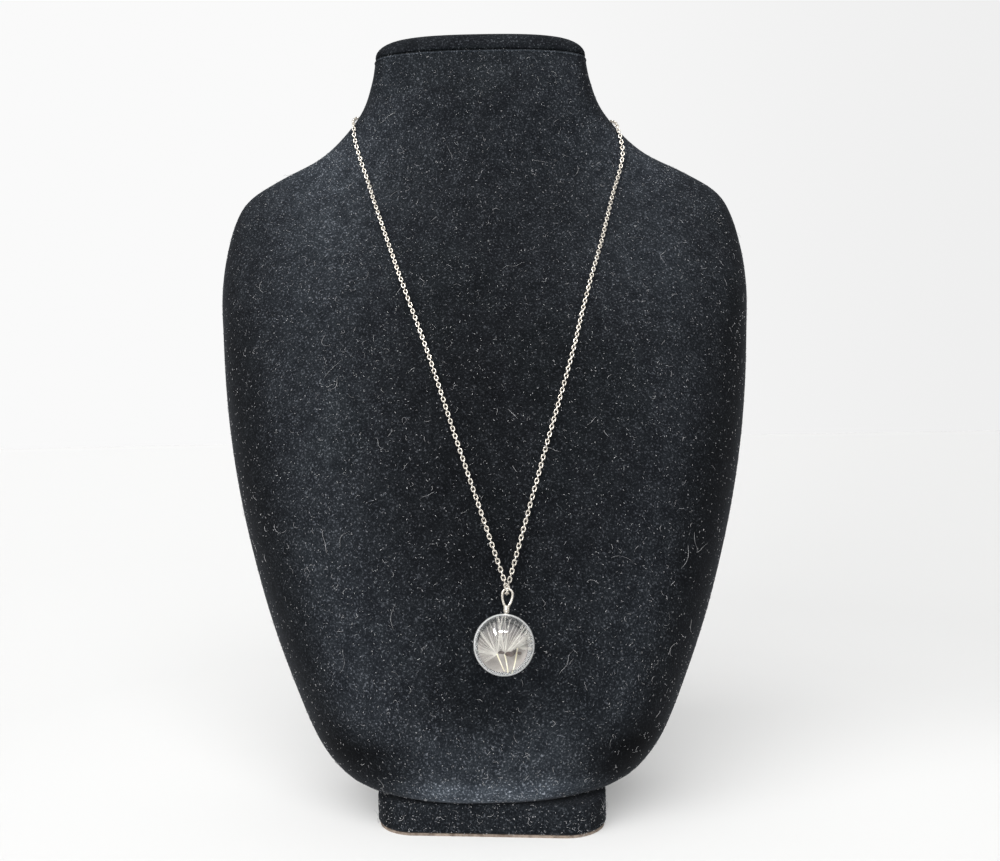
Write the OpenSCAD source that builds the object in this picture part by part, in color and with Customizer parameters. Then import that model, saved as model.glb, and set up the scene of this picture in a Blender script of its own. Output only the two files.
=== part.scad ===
// Glass ball pendant with dandelion seeds, on its chain over a velvet neck bust
// Millimetres. X runs across the bust, Y to its back, Z up.
// The origin is under the middle of the bust, level with the foot's underside.

/* [Bust] */
// Widest part of the bust, at the chest
bust_w = 195; // [185:1:200]
// Height of the bust from the floor to the groove under its cap
bust_h = 264; // [258:1:270]
// Half width of the middle column that carries the neck into the chest
column_w = 30; // [27:1:33]
// Thickness of the neck cap
cap_h = 6.7; // [5.5:0.2:7.1]
// Groove between the neck and its cap
groove = 0.3; // [0.2:0.1:0.6]

/* [Foot] */
// Width of the foot
foot_w = 72.5; // [68:0.5:76]
// Depth of the foot
foot_d = 70; // [66:1:74]
// Corner radius of the foot in plan
foot_r = 13; // [10:0.5:16]
// Thickness of the raw board under the foot
board_h = 0.8; // [0.6:0.1:1.4]
// How far the foot is turned under the bust
foot_turn = 5; // [0:1:6]
// How far the foot stands to the right of the bust's middle
foot_right = 1.8; // [-2:0.1:2]
// How far the foot stands in front of the bust's middle
foot_forward = 1.5; // [-2:0.1:2]

/* [Pendant] */
// Diameter of the glass ball
ball_d = 18; // [17:0.5:18.5]
// Diameter of the pendant's wire
wire_d = 0.72; // [0.6:0.02:0.8]
// Outer width of the wire loop
loop_w = 3.8; // [3.6:0.1:4.2]
// Height of the open loop, from its top wire to the wraps
loop_h = 4.9; // [4.6:0.1:5.4]
// Turns of wire wrapped under the loop
wraps = 4; // [3:1:4]
// How far the hanging pendant leans with the chest
lean = 22; // [18:1:24]
// How far the pendant is tipped to one side
tip = 5; // [0:1:5]

/* [Seeds] */
// Length of the bristles on each seed's plume
bristle_l = 5.4; // [4.6:0.1:5.6]
// Bristle strips on each plume
strips = 14; // [10:1:16]
// Diameter of a seed's stalk
stalk_d = 0.34; // [0.26:0.02:0.4]

/* [Chain] */
// Width of the chain
chain_d = 1.5; // [1.3:0.1:1.5]
// Gap between the chain and the velvet
chain_gap = 0.3; // [0.25:0.05:0.5]
// Outer diameter of the clasp ring
clasp_d = 6; // [5:0.5:7]

/* [Hidden] */

// Sections of the bust from the underside up, for a bust 193 wide and 264 high.
// Columns: height, half width, side line, front bulge, column bulge, back bulge.
height_col = 0;
half_col = 1;
side_col = 2;
front_col = 3;
column_col = 4;
back_col = 5;
table_w = 193;
table_h = 264;
table = [
    [ 10, 40.6,  3, 38,    0, 19],
    [ 12, 47,    3, 40.8,  0, 23],
    [ 16, 52.4,  4, 43.6,  0, 24],
    [ 24, 58.5,  6, 47.4,  0, 24],
    [ 40, 66,    9, 50.5,  0, 23],
    [ 60, 74.1, 13, 52.6,  0, 21],
    [ 80, 80.7, 17, 53.4,  0, 20],
    [100, 86.3, 21, 52.3,  0, 19],
    [120, 90.5, 24, 48.9,  0, 19],
    [140, 93.5, 27, 44,    0, 18.5],
    [160, 95.5, 30, 37.8,  0, 17.5],
    [176, 96.5, 32, 32.5,  1, 17],
    [191, 95.5, 34, 25.4,  3.6, 16],
    [206, 92,   36, 18,    9.5, 15],
    [214, 87,   37.5, 14, 12, 14.5],
    [221, 76,   38, 12.5, 12.5, 14],
    [228, 62.5, 38.5, 12.5, 12, 13.5],
    [236, 53,   38.5, 13,  10, 13.5],
    [246, 45,   38, 15,    6, 14],
    [256, 40.9, 35.5, 13,  2, 16.5],
    [264, 39.2, 34, 11.3,  0, 18]
];
rows = [for (r = table)
    [r[height_col] * bust_h / table_h, r[half_col] * bust_w / table_w,
     r[side_col], r[front_col], r[column_col], r[back_col]]];
last = len(rows) - 1;
front_power = 2.5;
back_power = 3;
bust_sides = 56;
ring_steps = 2;
bust_bottom = rows[0][height_col];

// Slope of every column at a row, from the rows on both sides of it
function row_slope(i) =
    let (a = rows[max(i - 1, 0)], b = rows[min(i + 1, last)])
    (b - a) / (b[height_col] - a[height_col]);

// Number of the row below a height
function row_below(z, i = 0) =
    i >= last - 1 || z < rows[i + 1][height_col] ? i : row_below(z, i + 1);

// The section at any height, smooth from row to row
function section_at(z) =
    let (i = row_below(z), a = rows[i], b = rows[i + 1],
         h = b[height_col] - a[height_col], u = (z - a[height_col]) / h)
    (2 * u^3 - 3 * u^2 + 1) * a + (u^3 - 2 * u^2 + u) * h * row_slope(i)
    + (3 * u^2 - 2 * u^3) * b + (u^3 - u^2) * h * row_slope(i + 1);

// A point of a section: turn 0 is the right side, 90 the back, 270 the front
function section_point(s, turn) =
    let (front = sin(turn) < 0, power = front ? front_power : back_power,
         x = s[half_col] * sign(cos(turn)) * abs(cos(turn))^(2 / power),
         rise = abs(sin(turn))^(2 / power))
    [x,
     s[side_col] + (front
        ? -rise * (s[front_col] + s[column_col] * exp(-(x / column_w)^2))
        : rise * s[back_col]),
     s[height_col]];

function skin(turn, z) = section_point(section_at(z), turn);

// Outward direction of the bust's skin
function skin_out(turn, z) =
    let (step_t = 1, step_z = 0.5,
         along = skin(turn + step_t, z) - skin(turn - step_t, z),
         up = skin(turn, z + step_z) - skin(turn, z - step_z),
         n = cross(along, up))
    n / norm(n);

// Turn at which the front of a section reaches a place across it
function front_turn(x, z) =
    let (s = section_at(z), share = min(abs(x) / s[half_col], 1),
         a = acos(share^(front_power / 2)))
    x >= 0 ? 360 - a : 180 + a;

// A point held off the skin by a distance
function off_skin(turn, z, d) = skin(turn, z) + d * skin_out(turn, z);
function off_front(x, z, d) = off_skin(front_turn(x, z), z, d);

// Closed solid through rings of equal count, first ring at the bottom
module lofted(rings) {
    n = len(rings[0]);
    polyhedron(
        points = [for (ring = rings) each ring],
        faces = concat(
            [[for (k = [0 : n - 1]) k]],
            [for (i = [0 : len(rings) - 2]) for (k = [0 : n - 1])
                let (a = i * n, b = a + n, m = (k + 1) % n)
                [a + k, b + k, b + m, a + m]],
            [[for (k = [n - 1 : -1 : 0]) (len(rings) - 1) * n + k]]),
        convexity = 8);
}

// The pendant hangs from the middle of its loop's top wire
ball_r = ball_d / 2;
wire_r = wire_d / 2;
hinge_x = 6.25;
hinge_z = 76.8;
wrap_pitch = 0.62;
wrap_r = 0.62;
wrap_flat = 0.02;
bead = 0.015;
wrap_h = wraps * wrap_pitch + 0.1;
ball_seat = 0.06;
ball_drop = loop_h + wrap_h + ball_seat + ball_r;
ball_x = hinge_x - ball_drop * sin(tip);
ball_z = hinge_z - ball_drop * cos(lean) * cos(tip);
rest_gap = 0.3;
touch_below = 0.7;
ball_y = off_front(ball_x, ball_z - touch_below, ball_r + rest_gap)[1];
hinge_y = ball_y + ball_drop * sin(lean) * cos(tip);
hinge = [hinge_x, hinge_y, hinge_z];
stem_in = 1.2;
bore_gap = 0.1;
seed_room_r = 7;
seed_room_h = 4.4;
seed_reach = 5.9;

// Children are drawn with the hinge at the origin and the pendant down -Z
module hang() {
    translate(hinge) rotate([-lean, 0, 0]) rotate([0, tip, 0]) children();
}

module bust_form() {
    heights = [for (i = [0 : last - 1]) for (k = [0 : ring_steps - 1])
                   let (a = rows[i][height_col], b = rows[i + 1][height_col])
                   a + (b - a) * k / ring_steps,
               rows[last][height_col]];
    color("#2e3236")
        lofted([for (z = heights)
            [for (k = [0 : bust_sides - 1]) skin(k * 360 / bust_sides, z)]]);
}

// A plate on the neck: its edge turns in a little underneath, and rounds off
// over its whole height towards the top, more at the sides than in front
module neck_cap() {
    under = 0.9;
    side_round = 11;
    front_round = 3.6;
    top = rows[last];
    steps = 8;
    color("#34373c")
        lofted([for (k = [0 : steps])
            let (a = -90 + 180 * k / steps, below = a < 0, out = cos(a) - 1,
                 rise = below ? under * (1 + sin(a)) : under + (cap_h - under) * sin(a),
                 side = out * (below ? under : side_round),
                 front = out * (below ? under : front_round),
                 s = top + [groove + rise, side, 0, front, 0, front])
            [for (j = [0 : bust_sides - 1])
                section_point(s, j * 360 / bust_sides)]]);
}

// Block with round upright corners, standing on z = 0
module round_block(w, d, r, h) {
    linear_extrude(h) {
        square([w - 2 * r, d], center = true);
        square([w, d - 2 * r], center = true);
        for (x = [-1, 1], y = [-1, 1])
            translate([x * (w / 2 - r), y * (d / 2 - r)]) circle(r, $fn = 48);
    }
}

// Where the foot and its board stand under the bust
module stood() {
    translate([foot_right, -foot_forward, 0]) rotate([0, 0, -foot_turn]) children();
}

module foot() {
    seat = 0.1;
    color("#2e3236")
        stood() translate([0, 0, board_h + seat])
            round_block(foot_w, foot_d, foot_r, bust_bottom - board_h - 2 * seat);
}

module base_board() {
    inset = 0.6;
    color("#8d7f74")
        stood()
            round_block(foot_w - 2 * inset, foot_d - 2 * inset, foot_r - inset, board_h);
}

// Chain route. Each strand lies on the chest along these places, given across
// and up, then runs straight to the loop. Past the neck's sides it goes round
// the back by turn and height.
left_rows = [[-9, 121], [-17.5, 147], [-22.5, 161], [-28, 176], [-33.3, 191],
             [-38.8, 207], [-42, 217], [-45, 226], [-47, 234], [-47.3, 239]];
right_rows = [[20, 121], [28.5, 147], [32.5, 161], [37, 176], [42, 191],
              [47, 208], [50, 217], [52, 225], [51.8, 231], [50.8, 236]];
left_back = [[190, 242], [180, 244], [165, 245], [150, 246], [130, 247], [110, 247]];
right_back = [[350, 239], [0, 241], [15, 243], [30, 245], [50, 246], [70, 247]];
clasp_z = 247;
chain_r = chain_d / 2;
chain_off = chain_r + chain_gap;
chain_sides = 8;
clasp_wire_r = 0.55;
clasp_r = clasp_d / 2 - clasp_wire_r;
lug_r = 0.9;
lug_wire_r = 0.3;
lug_x = -(clasp_r + clasp_wire_r + lug_r - 0.1);
link_gap = 0.3;
clasp_y = off_skin(90, clasp_z, chain_gap + clasp_wire_r)[1];
// The chain turns under the loop's top wire, from the front of it to the back,
// a little to the left of its middle
turn_r = wire_r + chain_r + 0.12;
turn_left = 0.3;
chain_up = [0, sin(lean), cos(lean)];
chain_front = [0, -cos(lean), sin(lean)];
turn_steps = 8;
free_steps = 2;

function loop_turn(a) = hinge - [turn_left, 0, 0]
    + turn_r * (cos(a) * chain_front - sin(a) * chain_up);
function between(a, b, n) = [for (k = [1 : n - 1]) a + (b - a) * k / n];
function on_chest(list) = [for (p = list) off_front(p[0], p[1], chain_off)];
function round_neck(list) = [for (p = list) off_skin(p[0], p[1], chain_off)];
function reversed(list) = [for (i = [len(list) - 1 : -1 : 0]) list[i]];

left_end = [lug_x - lug_r - lug_wire_r - link_gap, clasp_y, clasp_z];
right_end = [clasp_r + clasp_wire_r + link_gap, clasp_y, clasp_z];
left_laid = concat([left_end], reversed(round_neck(left_back)),
                   reversed(on_chest(left_rows)));
right_laid = concat(on_chest(right_rows), round_neck(right_back), [right_end]);

// Smooth a route: each span gets its middle point from a cubic through four
function midway(r, i) =
    (9 * (r[i] + r[i + 1]) - r[max(i - 1, 0)] - r[min(i + 2, len(r) - 1)]) / 16;
function finer(r) = concat(
    [for (i = [0 : len(r) - 2]) each [r[i], midway(r, i)]], [r[len(r) - 1]]);

chain_route = concat(
    finer(left_laid), between(left_laid[len(left_laid) - 1], loop_turn(0), free_steps),
    [for (k = [0 : turn_steps]) loop_turn(180 * k / turn_steps)],
    between(loop_turn(180), right_laid[0], free_steps), finer(right_laid));

// Direction of a route at one of its points
function heading(r, i) =
    let (d = r[min(i + 1, len(r) - 1)] - r[max(i - 1, 0)]) d / norm(d);

// Side directions carried along the route without twisting
function carried(r, i, side) =
    let (t = heading(r, i), s = side - (side * t) * t, u = s / norm(s))
    i == len(r) - 1 ? [u] : concat([u], carried(r, i + 1, u));

module swept(route, r, sides, side) {
    across = carried(route, 0, side);
    lofted([for (i = [0 : len(route) - 1])
        let (t = heading(route, i), u = across[i], v = cross(t, u))
        [for (k = [0 : sides - 1])
            let (a = 360 * k / sides) route[i] + r * (cos(a) * u + sin(a) * v)]]);
}

module chain() {
    color("#d8d3c6") swept(chain_route, chain_r, chain_sides, [0, 0, 1]);
}

module ring(r, wire) {
    rotate([90, 0, 0])
        rotate_extrude($fn = 48) translate([r, 0]) circle(wire, $fn = 24);
}

// Plain ring clasp at the back of the neck, with its lug and thumb piece
module clasp() {
    color("#d8d3c6")
        translate([0, clasp_y, clasp_z]) {
            ring(clasp_r, clasp_wire_r);
            translate([lug_x, 0, 0]) ring(lug_r, lug_wire_r);
            translate([0.6 * clasp_r, 0, 0.8 * clasp_r])
                rotate([0, 37, 0]) cylinder(h = 1.4, r = 0.4, $fn = 24);
        }
}

// Pear-shaped loop of round wire: a half ring over the top, and two long arcs
// that leave its ends at small beads and meet in the wraps
loop_r = loop_w / 2 - wire_r;
leg_foot = 0.34;
leg_in = 0.5;
leg_drop = loop_h + leg_in - loop_r;
leg_close = loop_r - leg_foot;
leg_r = (leg_drop^2 + leg_close^2) / (2 * leg_close);
leg_turn = asin(leg_drop / leg_r);

module wire_loop() {
    color("#dcd8cc") hang() {
        translate([0, 0, -loop_r]) rotate([90, 0, 0]) {
            rotate_extrude(angle = 180, $fn = 48)
                translate([loop_r, 0]) circle(wire_r, $fn = 24);
            for (side = [0, 1])
                mirror([side, 0, 0]) translate([loop_r - leg_r, 0, 0])
                    rotate([0, 0, -leg_turn])
                        rotate_extrude(angle = leg_turn, $fn = 96)
                            translate([leg_r, 0]) circle(wire_r, $fn = 24);
            for (x = [-loop_r, loop_r])
                translate([x, 0, 0]) sphere(wire_r + bead, $fn = 32);
        }
        rotate_extrude($fn = 36) {
            translate([0, -loop_h - wrap_h - stem_in])
                square([wire_r, wrap_h + stem_in]);
            for (k = [0 : wraps - 1])
                translate([wrap_r, -loop_h - wrap_pitch * (k + 0.55)])
                    circle(wire_r - wrap_flat, $fn = 24);
        }
    }
}

// Solid glass ball with a bore for the stem and a sealed room for the seeds
module glass_ball() {
    color("#e6f2f5", 0.4) hang() translate([0, 0, -ball_drop])
        difference() {
            sphere(ball_r, $fn = 96);
            translate([0, 0, ball_r - stem_in - bore_gap])
                cylinder(h = 2 * stem_in, r = wire_r + bore_gap, $fn = 32);
            rotate([90, 0, 0])
                cylinder(h = seed_room_h, r = seed_room_r, center = true, $fn = 96);
        }
}

// One seed: a stalk from its lower end up to the plume's head, and bristle
// strips from the head over a fan of directions, in the ball's own plane
module seed(head, low, first, final, depth) {
    head_r = 0.4;
    strip_w = 0.24;
    tip_w = 0.1;
    spread_y = 0.5;
    at = [head[0], depth, head[1]];
    run = [low[0] - head[0], 0, low[1] - head[1]];
    color("#efe6cf") hang() translate([0, 0, -ball_drop]) {
        hull() {
            translate(at) sphere(stalk_d / 2, $fn = 8);
            translate(at + run) sphere(stalk_d / 2, $fn = 8);
        }
        translate(at) sphere(head_r, $fn = 12);
        for (k = [0 : strips - 1]) {
            a = first + (final - first) * k / (strips - 1);
            dir = [cos(a), 0, sin(a)];
            room = -(head * [dir[0], dir[2]])
                + sqrt((head * [dir[0], dir[2]])^2 - head * head + seed_reach^2);
            side = spread_y * (k % 2 == 0 ? 1 : -1);
            l = min(bristle_l, room);
            hull() {
                translate(at) cube(strip_w, center = true);
                translate(at + l * dir + [0, side, 0])
                    cube(tip_w, center = true);
            }
        }
    }
}

module seed_left() { seed([-1.35, -2.3], [0.55, -6.6], 218, 62, -1.4); }
module seed_mid() { seed([0.3, -1.9], [1.38, -6.45], 122, 36, 0); }
module seed_right() { seed([2.45, -0.15], [1.93, -6.4], 82, -2, 1.4); }

bust_form();
neck_cap();
foot();
base_board();
chain();
clasp();
wire_loop();
glass_ball();
seed_left();
seed_mid();
seed_right();
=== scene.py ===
import math

import bmesh
import bpy
import numpy as np
from mathutils import Matrix, Quaternion, Vector


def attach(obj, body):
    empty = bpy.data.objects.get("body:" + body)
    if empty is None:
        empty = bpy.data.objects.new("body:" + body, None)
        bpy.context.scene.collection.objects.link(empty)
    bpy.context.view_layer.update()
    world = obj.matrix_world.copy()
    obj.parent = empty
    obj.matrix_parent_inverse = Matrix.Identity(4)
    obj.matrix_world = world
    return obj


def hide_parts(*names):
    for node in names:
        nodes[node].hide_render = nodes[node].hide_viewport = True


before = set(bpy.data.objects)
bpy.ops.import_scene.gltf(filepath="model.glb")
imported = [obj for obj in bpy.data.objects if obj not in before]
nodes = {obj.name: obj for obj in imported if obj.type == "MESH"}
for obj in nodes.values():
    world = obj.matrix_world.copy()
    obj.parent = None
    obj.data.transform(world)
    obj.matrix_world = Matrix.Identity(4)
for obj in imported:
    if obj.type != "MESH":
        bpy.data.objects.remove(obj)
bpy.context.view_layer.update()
mm = 0.001
print("frame loaded")


# Small helpers for meshes

def newPiece(name, verts, faces, smooth=True):
    mesh = bpy.data.meshes.new(name)
    mesh.from_pydata(np.asarray(verts, float).tolist(), [], [list(f) for f in faces])
    mesh.validate()
    if smooth:
        mesh.polygons.foreach_set("use_smooth", [True] * len(mesh.polygons))
    mesh.update()
    piece = bpy.data.objects.new(name, mesh)
    bpy.context.scene.collection.objects.link(piece)
    return piece


def loftFaces(rings, sides, wrap=False):
    faces = []
    for i in range(rings if wrap else rings - 1):
        a, b = i * sides, (i + 1) % rings * sides
        for k in range(sides):
            m = (k + 1) % sides
            faces.append((a + k, a + m, b + m, b + k))
    if not wrap:
        faces.append(tuple(range(sides - 1, -1, -1)))
        faces.append(tuple((rings - 1) * sides + k for k in range(sides)))
    return faces


def unit(v):
    return v / np.linalg.norm(v, axis=-1, keepdims=True)


def tubeMesh(path, radii, sides, side):  # one round wire along a path
    path = np.asarray(path, float)
    radii = np.broadcast_to(radii, (len(path),))
    along = unit(np.gradient(path, axis=0))
    verts = []
    across = np.asarray(side, float)
    for i, t in enumerate(along):
        across = unit(across - np.dot(across, t) * t)
        up = np.cross(t, across)
        for k in range(sides):
            a = 2 * math.pi * k / sides
            verts.append(path[i] + radii[i] * (math.cos(a) * across + math.sin(a) * up))
    return np.array(verts), loftFaces(len(path), sides)


def hairMesh(paths, radii, sides=3):  # many thin tubes at once, with closed ends
    count, steps, _ = paths.shape
    along = unit(np.gradient(paths, axis=1))
    helper = np.zeros_like(along)
    helper[..., 0] = 1
    steep = np.abs(along[..., 0]).max(axis=1) > 0.95
    helper[steep] = (0, 1, 0)
    across = unit(np.cross(along, helper))
    up = np.cross(along, across)
    turns = 2 * math.pi * np.arange(sides) / sides
    ring = (np.cos(turns)[:, None] * across[:, :, None, :]
            + np.sin(turns)[:, None] * up[:, :, None, :])
    verts = (paths[:, :, None, :] + np.asarray(radii)[:, :, None, None] * ring).reshape(-1, 3)
    k = np.arange(sides)
    m = (k + 1) % sides
    start = (np.arange(count)[:, None, None] * steps + np.arange(steps - 1)[:, None]) * sides
    quads = np.stack([start + k, start + m, start + sides + m, start + sides + k], axis=-1)
    faces = quads.reshape(-1, 4).tolist()
    first = np.arange(count)[:, None] * steps * sides
    faces += (first + k[::-1]).tolist() + (first + (steps - 1) * sides + k).tolist()
    return verts, faces


def joined(*parts):  # several meshes as one
    verts, faces, count = [], [], 0
    for v, f in parts:
        verts.append(np.asarray(v, float))
        faces += [[count + i for i in face] for face in f]
        count += len(v)
    return np.concatenate(verts), faces


def transformed(verts, matrix):  # millimetres in, metres out
    turn = np.array(matrix.to_3x3())
    return np.asarray(verts, float) * mm @ turn.T + np.array(matrix.translation)


def scatterOn(piece, count, rng):  # places on a mesh's quads, evenly by area
    mesh = piece.data
    n = len(mesh.polygons)
    area, normal = np.empty(n), np.empty(n * 3)
    first, total = np.empty(n, int), np.empty(n, int)
    mesh.polygons.foreach_get("area", area)
    mesh.polygons.foreach_get("normal", normal)
    mesh.polygons.foreach_get("loop_start", first)
    mesh.polygons.foreach_get("loop_total", total)
    corner = np.empty(len(mesh.loops), int)
    mesh.loops.foreach_get("vertex_index", corner)
    place = np.empty(len(mesh.vertices) * 3)
    mesh.vertices.foreach_get("co", place)
    place = place.reshape(-1, 3)
    area[total != 4] = 0
    pick = rng.choice(n, count, p=area / area.sum())
    a, b, d = (place[corner[first[pick] + j]] for j in (0, 1, 3))
    u, v = rng.random((2, count, 1))
    return a + u * (b - a) + v * (d - a), normal.reshape(-1, 3)[pick]


# The bust's skin, in millimetres: the same sections as the frame's solid

bust = {
    "width": 195,
    "tableWidth": 193,
    "rows": [  # height, half width, side line, front bulge, column bulge, back bulge
        (10, 40.6, 3, 38, 0, 19),
        (12, 47, 3, 40.8, 0, 23),
        (16, 52.4, 4, 43.6, 0, 24),
        (24, 58.5, 6, 47.4, 0, 24),
        (40, 66, 9, 50.5, 0, 23),
        (60, 74.1, 13, 52.6, 0, 21),
        (80, 80.7, 17, 53.4, 0, 20),
        (100, 86.3, 21, 52.3, 0, 19),
        (120, 90.5, 24, 48.9, 0, 19),
        (140, 93.5, 27, 44, 0, 18.5),
        (160, 95.5, 30, 37.8, 0, 17.5),
        (176, 96.5, 32, 32.5, 1, 17),
        (191, 95.5, 34, 25.4, 3.6, 16),
        (206, 92, 36, 18, 9.5, 15),
        (214, 87, 37.5, 14, 12, 14.5),
        (221, 76, 38, 12.5, 12.5, 14),
        (228, 62.5, 38.5, 12.5, 12, 13.5),
        (236, 53, 38.5, 13, 10, 13.5),
        (246, 45, 38, 15, 6, 14),
        (256, 40.9, 35.5, 13, 2, 16.5),
        (264, 39.2, 34, 11.3, 0, 18),
    ],
    "columnWidth": 30,
    "frontPower": 2.5,
    "backPower": 3.0,
    "around": 220,
    "ringStep": 1.6,
    "capHeight": 6.7,
    "capSteps": 20,
    "capUnder": 0.9,
    "capSideRound": 11,
    "capFrontRound": 3.6,
    "groove": 0.3,
    "hemRadius": 0.3,
    "hemDrop": 0.7,
    "hemLook": 0.6,  # how far under the hem the skin's direction is taken
    "hemSides": 8,
}
rowTable = np.array(bust["rows"], float)
rowTable[:, 1] *= bust["width"] / bust["tableWidth"]


def sectionAt(z):  # the row at any height, on a smooth curve through the rows
    i = int(np.clip(np.searchsorted(rowTable[:, 0], z, side="right") - 1, 0, len(rowTable) - 2))

    def slope(j):
        a, b = max(j - 1, 0), min(j + 1, len(rowTable) - 1)
        return (rowTable[b] - rowTable[a]) / (rowTable[b, 0] - rowTable[a, 0])

    p, q = rowTable[i], rowTable[i + 1]
    h = q[0] - p[0]
    u = (z - p[0]) / h
    return ((2 * u**3 - 3 * u**2 + 1) * p + (u**3 - 2 * u**2 + u) * h * slope(i)
            + (3 * u**2 - 2 * u**3) * q + (u**3 - u**2) * h * slope(i + 1))


def sectionPoint(section, turn):
    z, half, sideLine, front, column, back = section
    c, s = math.cos(math.radians(turn)), math.sin(math.radians(turn))
    isFront = s < 0
    power = bust["frontPower"] if isFront else bust["backPower"]
    x = half * math.copysign(abs(c) ** (2 / power), c)
    rise = abs(s) ** (2 / power)
    if isFront:
        y = sideLine - rise * (front + column * math.exp(-(x / bust["columnWidth"]) ** 2))
    else:
        y = sideLine + rise * back
    return np.array([x, y, z])


def skin(turn, z):
    return sectionPoint(sectionAt(z), turn)


def skinOut(turn, z):
    along = skin(turn + 1, z) - skin(turn - 1, z)
    up = skin(turn, z + 0.5) - skin(turn, z - 0.5)
    return unit(np.cross(along, up))


def frontTurn(x, z):  # the turn at which the front has this x
    share = min(abs(x) / sectionAt(z)[1], 1)
    a = math.degrees(math.acos(share ** (bust["frontPower"] / 2)))
    return 360 - a if x >= 0 else 180 + a


def offSkin(turn, z, d):
    return skin(turn, z) + d * skinOut(turn, z)


def makeBust():
    low, high = rowTable[0, 0], rowTable[-1, 0]
    heights = np.linspace(low, high, int((high - low) / bust["ringStep"]))
    turns = np.linspace(0, 360, bust["around"], endpoint=False)
    verts = [skin(t, z) * mm for z in heights for t in turns]
    return newPiece("velvetBust", verts, loftFaces(len(heights), bust["around"]))


def makeNeckCap():
    top, under = rowTable[-1], bust["capUnder"]
    turns = np.linspace(0, 360, bust["around"], endpoint=False)
    verts = []
    for k in range(bust["capSteps"] + 1):
        a = math.radians(-90 + 180 * k / bust["capSteps"])
        out = math.cos(a) - 1
        if a < 0:
            rise, side, front = under * (1 + math.sin(a)), under * out, under * out
        else:
            rise = under + (bust["capHeight"] - under) * math.sin(a)
            side, front = bust["capSideRound"] * out, bust["capFrontRound"] * out
        section = top + np.array([bust["groove"] + rise, side, 0, front, 0, front])
        verts += [sectionPoint(section, t) * mm for t in turns]
    return newPiece("velvetNeckCap", verts, loftFaces(bust["capSteps"] + 1, bust["around"]))


def makeHem():  # the folded edge of the cloth, just under the cap
    z, sides = rowTable[-1, 0] - bust["hemDrop"], bust["hemSides"]
    turns = np.linspace(0, 360, bust["around"], endpoint=False)
    verts = []
    for t in turns:
        out = skinOut(t, z - bust["hemLook"])
        for k in range(sides):
            a = -2 * math.pi * k / sides
            lift = bust["hemRadius"] * (math.cos(a) * out + math.sin(a) * np.array([0, 0, 1]))
            verts.append((skin(t, z) + lift) * mm)
    return newPiece("velvetHem", verts, loftFaces(len(turns), sides, wrap=True))


foot = {
    "width": 72.5,
    "depth": 70,
    "corner": 13,
    "low": 0.9,
    "high": 9.9,
    "edge": 1.0,
    "turn": 5,
    "right": 1.8,
    "forward": 1.5,
    "cornerSteps": 14,
    "edgeSteps": 6,
}


def makeFoot():
    def outline(inset):
        w, d = foot["width"] / 2 - foot["corner"], foot["depth"] / 2 - foot["corner"]
        points = []
        for x, y, start in ((1, 1, 0), (-1, 1, 90), (-1, -1, 180), (1, -1, 270)):
            for k in range(foot["cornerSteps"] + 1):
                a = math.radians(start + 90 * k / foot["cornerSteps"])
                r = foot["corner"] - inset
                points.append((x * w + r * math.cos(a), y * d + r * math.sin(a)))
        return points

    edge, levels = foot["edge"], []
    for a in np.linspace(0, math.pi / 2, foot["edgeSteps"] + 1):
        levels.append((foot["low"] + edge * (1 - math.cos(a)), edge * (1 - math.sin(a))))
    levels += [(foot["low"] + foot["high"] - z, inset) for z, inset in levels[::-1]]
    verts = [(x, y, z) for z, inset in levels for x, y in outline(inset)]
    matrix = (Matrix.Translation((foot["right"] * mm, -foot["forward"] * mm, 0))
              @ Matrix.Rotation(math.radians(-foot["turn"]), 4, "Z"))
    sides = 4 * (foot["cornerSteps"] + 1)
    return newPiece("velvetFoot", transformed(verts, matrix), loftFaces(len(verts) // sides, sides))


# Materials

def nodeTree(name):
    material = bpy.data.materials.new(name)
    material.use_nodes = True
    tree = material.node_tree
    return material, tree, tree.nodes["Principled BSDF"]


def addNode(tree, kind, **inputs):
    node = tree.nodes.new(kind)
    for key, value in inputs.items():
        node.inputs[key.replace("_", " ")].default_value = value
    return node


def addNoise(tree, scale, detail=2.0, roughness=0.5):
    coords = tree.nodes.new("ShaderNodeTexCoord")
    noise = addNode(tree, "ShaderNodeTexNoise", Scale=scale, Detail=detail, Roughness=roughness)
    tree.links.new(coords.outputs["Object"], noise.inputs["Vector"])
    return noise.outputs["Fac"]


def addRamp(tree, fac, *stops):
    ramp = tree.nodes.new("ShaderNodeValToRGB")
    while len(ramp.color_ramp.elements) < len(stops):
        ramp.color_ramp.elements.new(0.5)
    for element, (position, colour) in zip(ramp.color_ramp.elements, stops):
        element.position = position
        element.color = (*colour, 1)
    tree.links.new(fac, ramp.inputs["Fac"])
    return ramp.outputs["Color"]


def addBlend(tree, mode, a, b, share=1.0):
    mix = tree.nodes.new("ShaderNodeMix")
    mix.data_type = "RGBA"
    mix.blend_type = mode
    if isinstance(share, float):
        mix.inputs["Factor"].default_value = share
    else:
        tree.links.new(share, mix.inputs["Factor"])
    tree.links.new(a, mix.inputs[6])
    tree.links.new(b, mix.inputs[7])
    return mix.outputs[2]


def addBump(tree, shader, height, strength, distance):
    bump = addNode(tree, "ShaderNodeBump", Strength=strength, Distance=distance)
    tree.links.new(height, bump.inputs["Height"])
    tree.links.new(bump.outputs["Normal"], shader.inputs["Normal"])


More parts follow.
